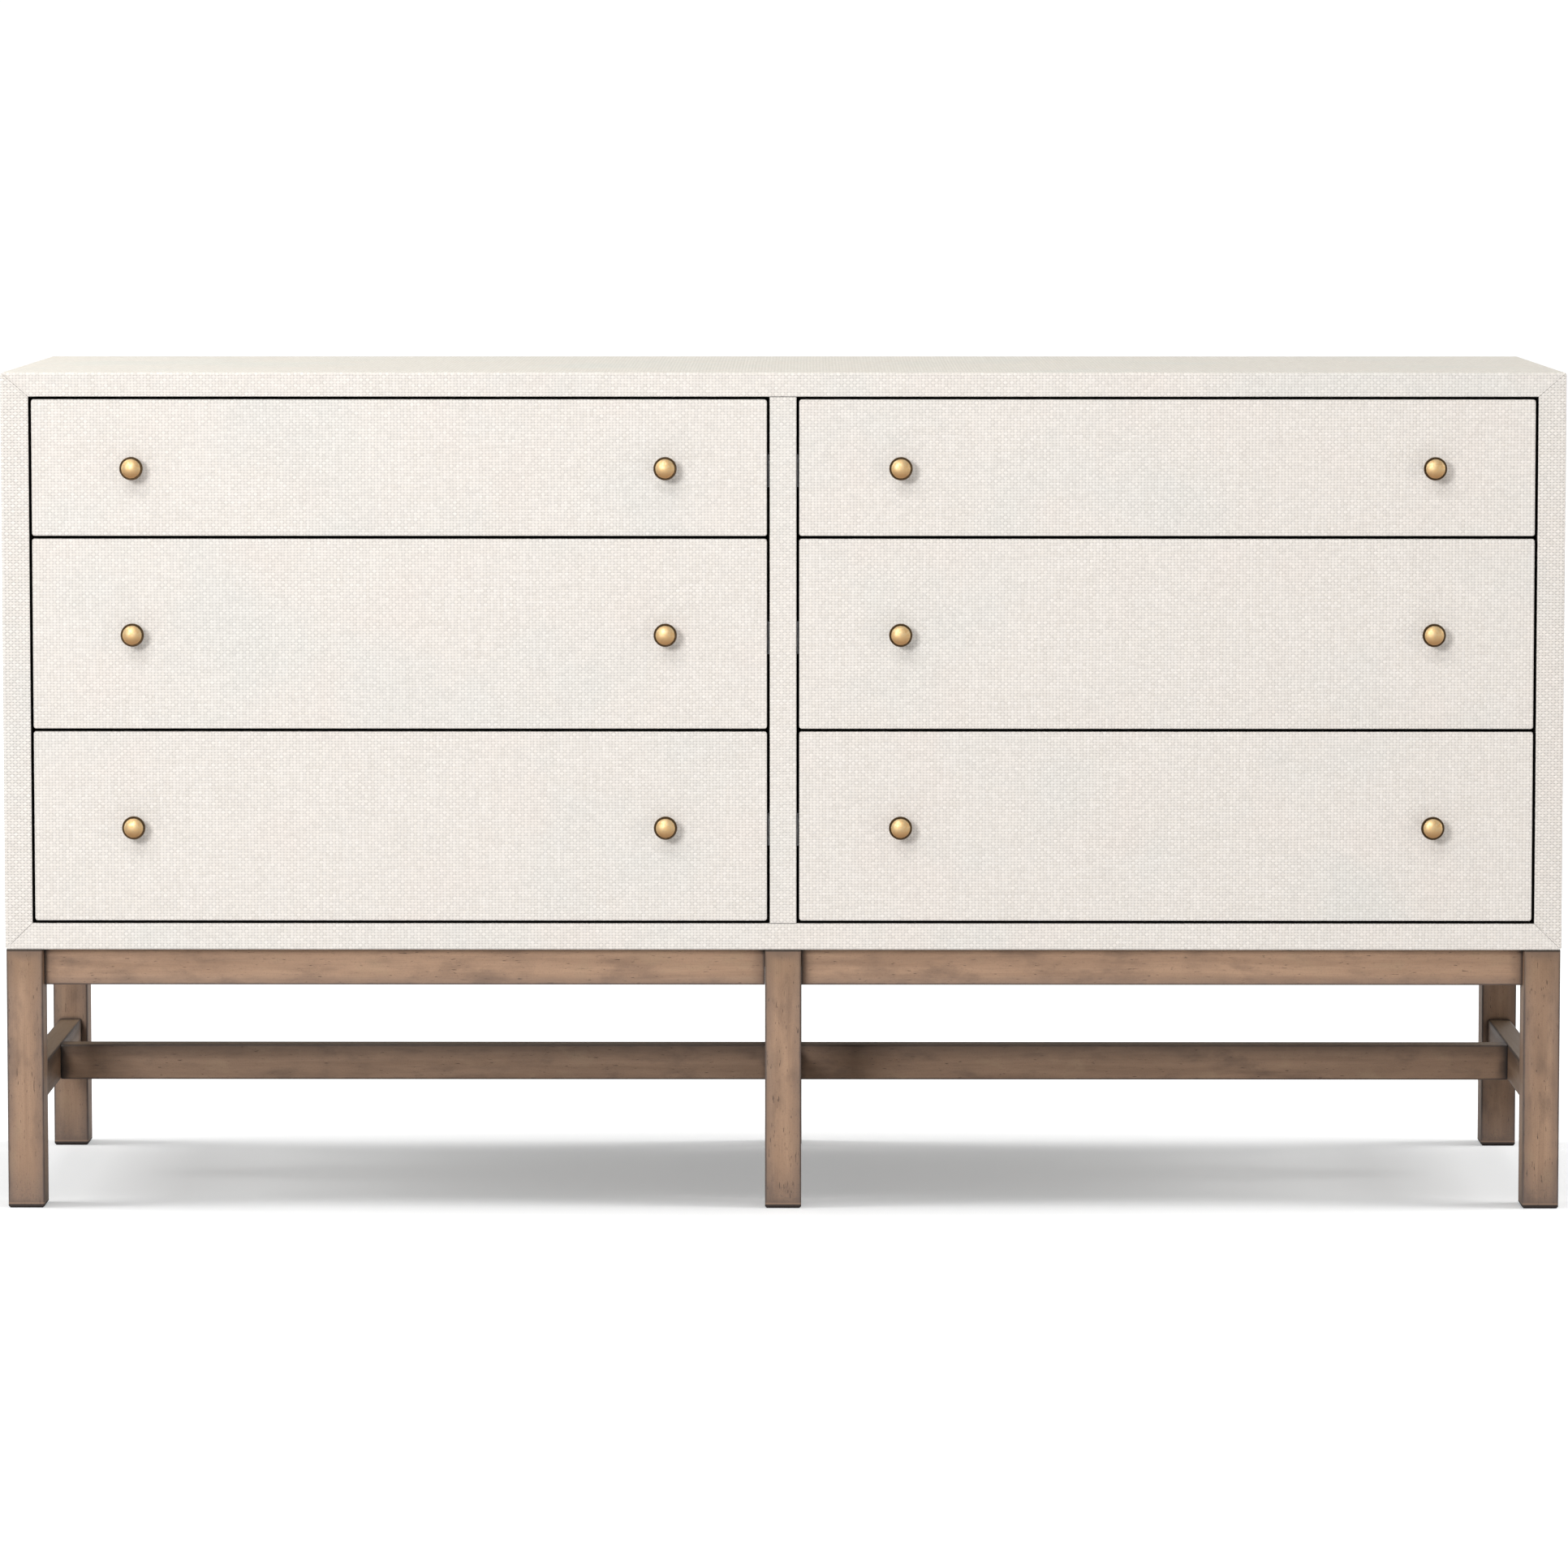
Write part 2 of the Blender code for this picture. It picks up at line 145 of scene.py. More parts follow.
# Screw heads, as radius and height
FIXING_HEAD = (0.0042, 0.0022)
RUNNER_HEAD = (0.0034, 0.0014)
BLOCK_HEAD = (0.0040, 0.0018)
BACK_HEAD = (0.0040, 0.0016)
HEAD_SEGMENTS = 20

# Drawer boxes
BOARD = 0.012
DOVETAIL_SLOPE = 1 / 7
DOVETAIL_PITCH = 0.038
PIN_HALF_WIDTH = 0.0030
EDGE_PIN_WIDTH = 0.0050
GLUE_LINE = 0.00012
BOTTOM_THICKNESS = 0.006
BOTTOM_SET_UP = 0.010
GROOVE_DEPTH = 0.004
GROOVE_SLACK = 0.0004
BOARD_EASING = 0.0006
SIZE_DIGITS = 4
END_SCREW_INSET = 0.045
LOW_SCREW_INSET, HIGH_SCREW_INSET = 0.032, 0.022

# Drawer slides
RUNNER_GAUGE = 0.0012
RUNNER_HALF_HEIGHT = 0.011
RUNNER_REACH = 0.0088
RUNNER_INSET = 0.002
RUNNER_GAP = 0.0001
RUNNER_SCREWS = (0.12, 0.5, 0.88)
CAGE_LENGTH = 0.090
CAGE_INSET = 0.004
CAGE_NEAR, CAGE_FAR = 0.0004, 0.0012
CAGE_CLEARANCE = 0.0003
BALL_RADIUS = 0.0024
BALL_FROM_WEB = 0.0045
BALLS_IN_A_ROW = 6

# Corner blocks, and the screws of the back panel
BLOCK_THICKNESS = 0.024
BLOCK_SIDE = 0.052
BLOCK_NOSE = 0.008
BLOCK_EASING = 0.0012
BLOCK_DROP = 0.0008
BLOCK_GAP = 0.0004
BLOCK_SCREWS = ((0.62, 0.22), (0.22, 0.62))
BACK_SCREW_INSET = 0.012
BACK_SCREWS_ACROSS, BACK_SCREWS_UP = 10, 4


class Graph:
    """Adds nodes to a material or a node group. Numbers that vary over the surface are
    Signals, which can be added, multiplied and so on like plain numbers."""

    def __init__(self, tree):
        self.tree = tree

    def add(self, kind, inputs=None, **settings):
        node = self.tree.nodes.new(kind)
        for name, value in settings.items():
            setattr(node, name, value)
        for key, value in (inputs or {}).items():
            self.plug(node.inputs[key], value)
        return node

    def plug(self, socket, value):
        if isinstance(value, Signal):
            value = value.socket
        if isinstance(value, bpy.types.NodeSocket):
            self.tree.links.new(value, socket)
        else:
            socket.default_value = value

    def per_piece(self):
        """A random number from 0 to 1 that differs between pieces."""
        return Signal(self, self.add("ShaderNodeObjectInfo").outputs["Random"])

    def to_camera(self):
        """1 for what the camera sees directly, and 0 for light that bounces."""
        return Signal(self, self.add("ShaderNodeLightPath").outputs["Is Camera Ray"])

    def math(self, operation, *values):
        node = self.add("ShaderNodeMath", operation=operation)
        for socket, value in zip(node.inputs, values):
            self.plug(socket, value)
        return Signal(self, node.outputs[0])

    def floor(self, value):
        return self.math("FLOOR", value)

    def fract(self, value):
        return self.math("FRACT", value)

    def sine(self, value):
        return self.math("SINE", value)

    def size(self, value):
        return self.math("ABSOLUTE", value)

    def root(self, value):
        return self.math("SQRT", value)

    def larger(self, a, b):
        return self.math("MAXIMUM", a, b)

    def smaller(self, a, b):
        return self.math("MINIMUM", a, b)

    def above(self, a, b):
        return self.math("GREATER_THAN", a, b)

    def ramp(self, value, low, high, start=0.0, end=1.0, smooth=True):
        """start up to low, end from high on, and a smooth change between them."""
        node = self.add(
            "ShaderNodeMapRange",
            {"Value": value, "From Min": low, "From Max": high, "To Min": start, "To Max": end},
            interpolation_type="SMOOTHSTEP" if smooth else "LINEAR",
        )
        return Signal(self, node.outputs["Result"])

    def mix(self, share, a, b):
        node = self.add("ShaderNodeMix", data_type="FLOAT")
        for socket, value in zip((node.inputs[0], node.inputs[2], node.inputs[3]), (share, a, b)):
            self.plug(socket, value)
        return Signal(self, node.outputs[0])

    def blend(self, share, a, b, mode="MIX"):
        """Two colours mixed by share."""
        node = self.add("ShaderNodeMix", data_type="RGBA", blend_type=mode)
        for socket, value in zip((node.inputs[0], node.inputs[6], node.inputs[7]), (share, a, b)):
            self.plug(socket, value)
        return node.outputs[2]

    def vector(self, x, y, z):
        node = self.add("ShaderNodeCombineXYZ", {"X": x, "Y": y, "Z": z})
        return node.outputs[0]

    def parts(self, vector):
        node = self.add("ShaderNodeSeparateXYZ", {"Vector": vector})
        return [Signal(self, socket) for socket in node.outputs]

    def noise(self, vector, scale, detail, rough=0.5, distortion=0.0):
        node = self.add(
            "ShaderNodeTexNoise",
            {
                "Vector": vector,
                "Scale": scale,
                "Detail": detail,
                "Roughness": rough,
                "Distortion": distortion,
            },
        )
        return Signal(self, node.outputs["Fac"])

    def chance(self, vector):
        """An even random number from 0 to 1 for each whole-numbered place."""
        node = self.add("ShaderNodeTexWhiteNoise", {"Vector": vector}, noise_dimensions="3D")
        return Signal(self, node.outputs["Value"])


class Signal:
    """A number that varies over the surface: a node's output, with plain arithmetic."""

    def __init__(self, graph, socket):
        self.graph = graph
        self.socket = socket

    def __add__(self, other):
        return self.graph.math("ADD", self, other)

    def __sub__(self, other):
        return self.graph.math("SUBTRACT", self, other)

    def __rsub__(self, other):
        return self.graph.math("SUBTRACT", other, self)

    def __mul__(self, other):
        return self.graph.math("MULTIPLY", self, other)

    def __truediv__(self, other):
        return self.graph.math("DIVIDE", self, other)


def material(name, roughness, metallic=0.0):
    """A new Principled material, with its graph and shader."""
    made = bpy.data.materials.new(name)
    made.use_nodes = True
    shader = made.node_tree.nodes["Principled BSDF"]
    shader.inputs["Roughness"].default_value = roughness
    shader.inputs["Metallic"].default_value = metallic
    return made, Graph(made.node_tree), shader


def bump(graph, shader, height, distance):
    node = graph.add("ShaderNodeBump", {"Height": height, "Distance": distance, "Strength": 1.0})
    graph.plug(shader.inputs["Normal"], node.outputs[0])


def place_and_normal(graph):
    """The surface's place and direction in the piece's own frame. For a CAD node that is the
    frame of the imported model, at rest."""
    node = graph.add("ShaderNodeTexCoord")
    return node.outputs["Object"], node.outputs["Normal"]


def crevice(graph, distance):
    """From 0 deep in a narrow gap to 1 on an open surface."""
    node = graph.add(
        "ShaderNodeAmbientOcclusion", {"Distance": distance}, samples=6, only_local=False
    )
    return Signal(graph, node.outputs["AO"])


# Raffia weave

def weave_plane(graph, shift):
    """Where on the cloth a point lies, along its weft and its warp, and 1 on level faces."""
    place, normal = place_and_normal(graph)
    x, y, z = graph.parts(place)
    facing = [graph.size(part) for part in graph.parts(normal)]
    sideways = graph.above(facing[0], graph.larger(facing[1], facing[2]))
    level = graph.above(facing[2], graph.larger(facing[0], facing[1]))
    shift_u, shift_v, layer = graph.parts(shift)
    return graph.mix(sideways, x, y) + shift_u, graph.mix(level, z, y) + shift_v, layer, level


def strand_shapes(graph, across, up, weft_cover):
    """Round strands that go over and under each other in turn: height, 1 where the weft is on
    top, and 1 in the holes between strands. across and up count strands."""
    warp_round = graph.sine(graph.fract(across) * math.pi)
    weft_round = graph.sine(graph.fract(up) * math.pi)
    warp_lift = graph.sine((up + graph.floor(across)) * math.pi)
    weft_lift = graph.sine((across + graph.floor(up)) * math.pi) * -1.0
    warp_height = warp_lift * 0.5 + warp_round * 0.75
    weft_height = weft_lift * 0.5 + weft_round * 0.75 + weft_cover
    shown = graph.ramp(weft_height - warp_height, -0.04, 0.04)
    hole = graph.ramp(warp_round + weft_round, 0.25, 1.30, 1.0, 0.0)
    return graph.larger(warp_height, weft_height), shown, hole


def strand_colour(graph, flat, turned_flat, tone):
    """Raffia's colours: each strand between pale and straw, with pink and cool clouds."""
    pale, straw = (0.890, 0.842, 0.794, 1.0), (0.850, 0.797, 0.740, 1.0)
    pink, cool = (0.880, 0.808, 0.752, 1.0), (0.810, 0.800, 0.764, 1.0)
    cloud = graph.noise(flat, 5.5, 3.0, 0.55)
    warm = graph.noise(turned_flat, 9.0, 2.0, 0.55)
    colour = graph.blend(graph.ramp(tone, 0.30, 0.72), pale, straw)
    colour = graph.blend(graph.ramp(warm, 0.48, 0.72, 0.0, 0.50), colour, pink)
    return graph.blend(graph.ramp(cloud, 0.46, 0.70, 0.0, 0.50), colour, cool)


def weave_group():
    """Colour and height of a plain weave of flat raffia strands."""
    tree = bpy.data.node_groups.new("raffia_weave", "ShaderNodeTree")
    for name, kind in (
        ("Shift", "NodeSocketVector"),
        ("Weft Cover", "NodeSocketFloat"),
        ("Depth", "NodeSocketFloat"),
    ):
        tree.interface.new_socket(name, in_out="INPUT", socket_type=kind)
    tree.interface.new_socket("Colour", in_out="OUTPUT", socket_type="NodeSocketColor")
    tree.interface.new_socket("Height", in_out="OUTPUT", socket_type="NodeSocketFloat")
    graph = Graph(tree)
    given = graph.add("NodeGroupInput").outputs
    u, v, layer, level = weave_plane(graph, given["Shift"])

    # The strands wander a little from straight
    flat, turned_flat = graph.vector(u, v, layer), graph.vector(v, u, layer)
    u_off = (graph.noise(flat, 22.0, 2.0) - 0.5) * STRAND_WANDER
    v_off = (graph.noise(turned_flat, 17.0, 2.0) - 0.5) * STRAND_WANDER
    across = (u + u_off) / WARP_PITCH
    up = (v + v_off) / WEFT_PITCH
    warp, weft = graph.floor(across), graph.floor(up)
    height, shown, hole = strand_shapes(graph, across, up, given["Weft Cover"])

    # Strands differ in colour along their length, and each visible step of one differs a little
    weft_tone = graph.noise(graph.vector(u * 14.0, weft * 7.31, layer), 1.0, 2.0, 0.6)
    warp_tone = graph.noise(graph.vector(warp * 7.31, v * 14.0, layer), 1.0, 2.0, 0.6)
    tone = graph.mix(shown, warp_tone, weft_tone)
    colour = strand_colour(graph, flat, graph.vector(v, u, layer + 3.0), tone)
    step = graph.chance(graph.vector(warp, weft, layer))
    # Painted shade: darker in the holes between strands, where the warp lies on top and low on
    # each strand, with a faint painted highlight on the crowns; weaker on level faces
    shade = hole * 0.20 + (1.0 - shown) * 0.075 + graph.ramp(height, 0.35, 1.0, 0.07, -0.01)
    light = 1.0 - shade * given["Depth"] * (1.0 - level * 0.45)
    light = light * graph.ramp(step, 0.0, 1.0, 0.935, 1.035, smooth=False)
    colour = graph.blend(1.0, colour, graph.vector(light, light, light), "MULTIPLY")
    # Painted light: level faces tinted a little darker and yellower
    colour = graph.blend(level, colour, LEVEL_LIGHT_TINT, "MULTIPLY")

    out = graph.add("NodeGroupOutput")
    graph.plug(out.inputs["Colour"], colour)
    graph.plug(out.inputs["Height"], height)
    return tree


WEAVE = weave_group()


def lined_inside(graph, colour):
    """The cloth's colour, and bare stained board where it ends inside the case."""
    place, _ = place_and_normal(graph)
    x, y, z = graph.parts(place)
    inside = graph.above(INSIDE_HALF_WIDTH + PANEL_CLEARANCE, graph.size(x))
    inside = inside * graph.above(z, INSIDE_LOW - PANEL_CLEARANCE)
    inside = inside * graph.above(INSIDE_HIGH + PANEL_CLEARANCE, z)
    frayed = y + graph.noise(place, 300.0, 2.0) * 0.0016
    trimmed = FRONT_Y + TURNED_IN
    inside = inside * graph.ramp(frayed, trimmed, trimmed + 0.0006)
    grain = graph.noise(graph.vector(x * 60.0, y * 4.0, z * 60.0), 1.0, 4.0, 0.6)
    stained = graph.blend(grain, (0.120, 0.076, 0.050, 1.0), (0.065, 0.041, 0.028, 1.0))
    return graph.blend(inside, colour, stained)


def mitre_shade_lifted(graph):
    """Where the painted gap shade is lifted so the case's mitres hardly show: towards the outer
    corner, and at the bottom.
    """
    x, _, z = graph.parts(place_and_normal(graph)[0])
    outward = graph.ramp(graph.size(x), INSIDE_HALF_WIDTH + 0.006, INSIDE_HALF_WIDTH + 0.022)
    below = graph.ramp(z, INSIDE_LOW - 0.003, INSIDE_LOW - 0.001, 1.0, 0.0)
    return graph.larger(outward, below) * 0.85


def weave_material(name, shift, weft_cover, depth, lined=False):
    """Raffia weave. A lined piece has bare stained board beyond the turned-in edge."""
    made, graph, shader = material(name, 0.72)
    weave = graph.add("ShaderNodeGroup", node_tree=WEAVE)
    weave.inputs["Shift"].default_value = shift
    weave.inputs["Weft Cover"].default_value = weft_cover
    weave.inputs["Depth"].default_value = depth
    colour = weave.outputs["Colour"]
    # Painted shade: the weave goes near black deep in gaps and narrow corners, fading out over
    # their rounded edges
    open_air = graph.ramp(crevice(graph, GAP_SHADE_REACH), 0.60, 0.98)
    if lined:
        colour = lined_inside(graph, colour)
        # Less painted shade in the case's mitres
        open_air = graph.larger(open_air, mitre_shade_lifted(graph))
    colour = graph.blend(open_air, (0.006, 0.005, 0.004, 1.0), colour)
    graph.plug(shader.inputs["Base Color"], colour)
    shader.inputs["Specular IOR Level"].default_value = 0.18
    bump(graph, shader, weave.outputs["Height"], WEAVE_RELIEF)
    return made


# Washed wood

def median(graph, a, b, c):
    """The middle one of three numbers."""
    return graph.larger(graph.smaller(a, b), graph.smaller(graph.larger(a, b), c))


def toned(shade, tone):
    """A shade made lighter or darker, as a colour."""
    return (*(part * tone for part in shade), 1.0)


def wood_grain(graph, place, normal, grain_axis, tone, seed):
    """Colour of the bare washed grain, with the streaks, fibres and pores it is made of."""
    parts = graph.parts(place)
    along = parts[grain_axis]
    side, other = [parts[axis] for axis in OTHER_AXES[grain_axis]]
    pale, middle, dark = [toned(shade, tone) for shade in (WOOD_PALE, WOOD_MIDDLE, WOOD_DARK)]

    grain = graph.vector(along * 5.0 + seed, side * 90.0, other * 90.0)
    streaks = graph.noise(grain, 1.0, 4.0, 0.55, 0.4)
    fibres = graph.noise(graph.vector(along * 40.0, side * 1400.0, other * 1400.0), 1.0, 2.0)
    mottle = graph.noise(graph.vector(along * 14.0 + seed, side * 40.0, other * 40.0), 1.0, 3.0)
    open_pores = graph.noise(
        graph.vector(along * 130.0 + seed, side * 900.0, other * 900.0), 1.0, 1.0, 0.4
    )
    flecks = graph.noise(graph.vector(along * 60.0, side * 220.0 + seed, other * 220.0), 1.0, 2.0)
    pores = graph.ramp(open_pores, 0.66, 0.74) * graph.ramp(flecks, 0.45, 0.62)
    blotch = graph.noise(graph.vector(along * 0.45 + seed, side, other), 34.0, 4.0, 0.62)
    upward = graph.above(graph.parts(normal)[Z], 0.7)
    speckle = graph.noise(place, 620.0, 3.0, 0.7)

    colour = graph.blend(graph.ramp(streaks, 0.30, 0.72), pale, middle)
    colour = graph.blend(graph.ramp(mottle, 0.50, 0.80, 0.0, 0.55), colour, dark)
    colour = graph.blend(graph.ramp(fibres, 0.45, 0.85, 0.0, 0.25), colour, dark)
    colour = graph.blend(pores * 0.75, colour, toned(WOOD_INK, tone))
    colour = graph.blend(graph.ramp(blotch, 0.50, 0.72, 0.0, 0.50), colour, dark)
    colour = graph.blend(graph.ramp(blotch, 0.30, 0.46, 0.30, 0.0), colour, WOOD_OLIVE)
    # Painted light: the top faces of the low stretchers lighter and more olive
    if tone < SHADED_TONE:
        colour = graph.blend(upward * 0.7, colour, WOOD_OLIVE)
    colour = graph.blend(graph.ramp(speckle, 0.50, 0.78, 0.0, 0.36), colour, dark)
    return colour, streaks, fibres, pores


def wood_edges_and_shade(graph, colour, parts, low, high, grain_axis, tone):
    """Darker along edges and rims, dark joints, and painted shade: from a low stretcher's upper
    edge, on the legs just under the case, and in narrow corners.
    """
    dark, ink, rim_shade = [toned(shade, tone) for shade in (WOOD_DARK, WOOD_INK, WOOD_RIM)]
    shaded = tone < SHADED_TONE

    # How far in a point lies from the member's faces along each axis. On a face one of the
    # three is zero, so the middle one is the distance to the nearest edge
    inward = []
    for axis in (X, Y, Z):
        middle, half = (low[axis] + high[axis]) / 2, (high[axis] - low[axis]) / 2
        inward.append(half - graph.size(parts[axis] - middle))
    edge = median(graph, *inward)
    ends = [parts[axis] * 55.0 for axis in (grain_axis, *OTHER_AXES[grain_axis])]
    uneven = graph.noise(graph.vector(*ends), 1.0, 3.0) - 0.5

    # Darker along the edges: painted shade down from the upper edge of a low stretcher, and on
    # the other members along both sides of a leg and up from an apron's lower edge
    if shaded:
        from_edge, reach, depth = high[Z] - parts[Z], 0.022, 0.50
    elif grain_axis == Z:
        from_edge, reach, depth = edge, 0.0145, 0.48
    else:
        from_edge, reach, depth = parts[Z] - low[Z], 0.0145, 0.48
    edge_dark = graph.ramp(from_edge + uneven * 0.0060, 0.0, reach, depth, 0.0)
    colour = graph.blend(edge_dark, colour, ink if shaded else WOOD_EDGE_DARK)
    rim = graph.ramp(edge + uneven * 0.0016, 0.0005, 0.0028, 0.84, 0.0)
    colour = graph.blend(rim, colour, rim_shade)
    if grain_axis == Z:
        # Painted shade: legs are browner just under the case
        case_shade_on_legs = graph.ramp(high[Z] - parts[Z], 0.010, 0.065, 0.32, 0.0)
        colour = graph.blend(case_shade_on_legs, colour, WOOD_CASE_SHADE)
    joint_depth = 0.85 if shaded else 0.55
    joint = graph.ramp(inward[grain_axis] + uneven * 0.010, 0.0, 0.016, joint_depth, 0.0)
    colour = graph.blend(joint, colour, ink if shaded else dark)
    # Painted shade: near black in narrow corners and between parts
    corner = graph.ramp(crevice(graph, 0.0075), 0.35, 0.85, 0.95, 0.0)
    return graph.blend(corner, colour, WOOD_CREVICE_SHADE)


def wood_feet(graph, colour, place, tone):
    """Scuffs above the floor and darker towards the bottom, and at the very end a painted
    highlight line and a near-black band.
    """
    height = graph.parts(place)[Z]
    # Scuffs, and darker towards the bottom over the lowest 60 mm
    scuff = graph.noise(place, 330.0, 4.0, 0.75) - graph.ramp(height, 0.004, 0.060, 0.0, 0.30)
    scuffs_and_low_dark = graph.larger(
        graph.ramp(scuff, 0.34, 0.66, 0.0, 0.62), graph.ramp(height, 0.004, 0.060, 0.38, 0.0)
    )
    colour = graph.blend(scuffs_and_low_dark, colour, WOOD_FOOT_DARK)
    # Painted highlight: a light line just above the near-black band
    bare = graph.ramp(height, 0.0040, 0.0048) * graph.ramp(height, 0.0052, 0.0062, 0.45, 0.0)
    colour = graph.blend(bare, colour, toned(WOOD_PALE, tone))
    # Near black for the last few millimetres of the leg
    dark_foot_band = graph.ramp(height, 0.0032, 0.0044, 0.96, 0.0)
    return graph.blend(dark_foot_band, colour, toned(WOOD_INK, tone))


def wood_material(name, low, high, grain_axis, tone, seed):
    """Washed wood of one member, whose grain runs along one axis of its box."""
    made, graph, shader = material(name, 0.5)
    place, normal = place_and_normal(graph)
    parts = graph.parts(place)
    colour, streaks, fibres, pores = wood_grain(graph, place, normal, grain_axis, tone, seed)
    colour = wood_edges_and_shade(graph, colour, parts, low, high, grain_axis, tone)
    colour = wood_feet(graph, colour, place, tone)
    # Painted shadow: a dark line along the base just under the case's overhang, fainter on the
    # legs
    line_depth = 0.60 if grain_axis == Z else 0.97
    case_shadow_line = graph.ramp(CASE_BOTTOM - parts[Z], 0.0024, 0.0036, line_depth, 0.0)
    colour = graph.blend(case_shadow_line, colour, WOOD_CREVICE_SHADE)
    graph.plug(shader.inputs["Base Color"], colour)
    graph.plug(shader.inputs["Roughness"], graph.ramp(streaks, 0.2, 0.8, 0.42, 0.58))
    shader.inputs["Specular IOR Level"].default_value = 0.4
    bump(graph, shader, fibres * 0.4 - pores, 0.00025)
    return made


# Brass, steel and board

def brass_material():
    """Hand-rubbed brass, pale on the dome, with dark patina on the ledge round it."""
    made, graph, shader = material("antique_brass_finish", 0.3, 1.0)
    place, _ = place_and_normal(graph)
    seed = graph.per_piece() * 7.0
    x, y, z = graph.parts(place)
    radius = graph.root(x * x + z * z)
    spot = graph.vector(x + seed, y, z)
    smoke = graph.noise(spot, 330.0, 4.0, 0.62)
    fine = graph.noise(spot, 1600.0, 2.0)

    pale, gold, brown, dark = (
        (0.82, 0.63, 0.36, 1.0),
        (0.78, 0.53, 0.26, 1.0),
        (0.55, 0.30, 0.13, 1.0),
        (0.080, 0.051, 0.028, 1.0),
    )
    colour = graph.blend(graph.ramp(smoke, 0.35, 0.65), pale, gold)
    # Painted reflection: browner towards the knob's lower side
    painted_low_reflection = graph.ramp(z + (smoke - 0.5) * 0.012, -0.0090, 0.0020, 0.85, 0.0)
    colour = graph.blend(painted_low_reflection, colour, brown)
    rim = graph.ramp(radius + (smoke - 0.5) * 0.0008, 0.0098, 0.0107)
    behind = graph.ramp(0.0 - y, 0.0165, 0.0180, 1.0, 0.0)
    patina = graph.larger(rim, behind * 0.7)
    colour = graph.blend(patina * 0.97, colour, dark)
    graph.plug(shader.inputs["Base Color"], colour)
    graph.plug(shader.inputs["Roughness"], graph.ramp(smoke, 0.3, 0.8, 0.49, 0.63))
    bump(graph, shader, fine * 0.4 + smoke, 0.00006)
    return made


def board_material(name, pale, dark, grain_axis, roughness=0.55, scale=1.0):
    """Plain sawn wood whose grain runs along one of the piece's own axes."""
    made, graph, shader = material(name, roughness)
    place, _ = place_and_normal(graph)
    seed = graph.per_piece() * 31.0
    parts = graph.parts(place)
    along = parts[grain_axis] + seed
    side, other = [parts[axis] for axis in OTHER_AXES[grain_axis]]
    wave = graph.noise(graph.vector(along * 2.2, side * 9.0, other * 9.0), scale, 3.0)
    rings = graph.vector(along * 1.5, side * 60.0 + wave * 9.0, other * 60.0)
    bands = graph.noise(rings, scale, 3.0, 0.55, 0.3)
    fibres = graph.noise(graph.vector(along * 30.0, side * 900.0, other * 900.0), 1.0, 3.0)
    pores = graph.noise(graph.vector(along * 90.0, side * 700.0, other * 700.0), 1.0, 1.0)
    colour = graph.blend(graph.ramp(bands, 0.34, 0.70), pale, dark)
    colour = graph.blend(graph.ramp(fibres, 0.40, 0.80, 0.0, 0.45), colour, dark)
    pore = graph.ramp(pores, 0.66, 0.74)
    # Dark for the pores, and for the painted shade in corners
    shaded = [part * 0.45 for part in dark[:3]] + [1.0]
    colour = graph.blend(pore * 0.6, colour, shaded)
    # Painted shade: darker in narrow corners
    corner = graph.ramp(crevice(graph, 0.006), 0.30, 0.80, 0.55, 0.0)
    colour = graph.blend(corner, colour, shaded)
    graph.plug(shader.inputs["Base Color"], colour)
    gloss = graph.ramp(bands, 0.3, 0.7, roughness, roughness + 0.12)
    graph.plug(shader.inputs["Roughness"], gloss)
    bump(graph, shader, fibres - pore, 0.00012)
    return made


def steel_material():
    """Zinc-plated steel, drawn along Y, with faint spangles."""
    made, graph, shader = material("zinc_steel_finish", 0.34, 1.0)
    place, _ = place_and_normal(graph)
    x, y, z = graph.parts(place)
    drawn = graph.noise(graph.vector(x * 1800.0, y * 25.0, z * 1800.0), 1.0, 3.0)
    spangle = graph.noise(place, 210.0, 3.0, 0.6)
    dull, bright, matt = (0.56, 0.57, 0.59, 1.0), (0.70, 0.71, 0.72, 1.0), (0.44, 0.44, 0.43, 1.0)
    colour = graph.blend(drawn, dull, bright)
    colour = graph.blend(graph.ramp(spangle, 0.45, 0.7, 0.0, 0.35), colour, matt)
    graph.plug(shader.inputs["Base Color"], colour)
    graph.plug(shader.inputs["Roughness"], graph.ramp(spangle, 0.3, 0.7, 0.28, 0.44))
    bump(graph, shader, drawn, 0.00003)
    return made


# Pieces

def dress(node, finish):
    """Gives a CAD node its material."""
    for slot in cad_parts[node].material_slots:
        slot.material = finish


def dress_case():
    stile = weave_material("stile_weave", (0.0011, 0.0007, 11.0), 0.38, 1.5, True)
    rail = weave_material("rail_weave", (0.0020, 0.0004, 23.0), 0.05, 0.88, True)
    for node in CASE_PANELS:
        dress(node, stile if "side" in node else rail)
    divider = weave_material("divider_weave", (0.0, 0.0, 31.0), 0.25, 1.0, True)
    dress("centre_divider", divider)
    for index, drawer in enumerate(DRAWERS):
        shift = (0.0013 * index, 0.0009 * index, 41.0 + 7.0 * index)
        dress(f"{drawer}_drawer_front", weave_material(f"{drawer}_weave", shift, 0.0, 0.88))
    pale, dark = (0.170, 0.105, 0.066, 1.0), (0.088, 0.052, 0.034, 1.0)
    dress("back_panel", board_material("back_board_finish", pale, dark, X, 0.6, 1.5))


def dress_base():
    members = [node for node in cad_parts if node.endswith(("_leg", "_apron", "_rail"))]
    members += [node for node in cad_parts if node.endswith("_stretcher")]
    for index, node in enumerate(sorted(members)):
        low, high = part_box(node)
        extent = high - low
        grain_axis = max((X, Y, Z), key=lambda axis: extent[axis])
        # Painted light: a lighter or darker copy of the same wood for each kind of member
        tone = next((tone for kind, tone in WOOD_LIGHT_TONES.items() if kind in node), 1.0)
        finish = wood_material(f"{node}_wood", low, high, grain_axis, tone, 3.7 * index)
        dress(node, finish)


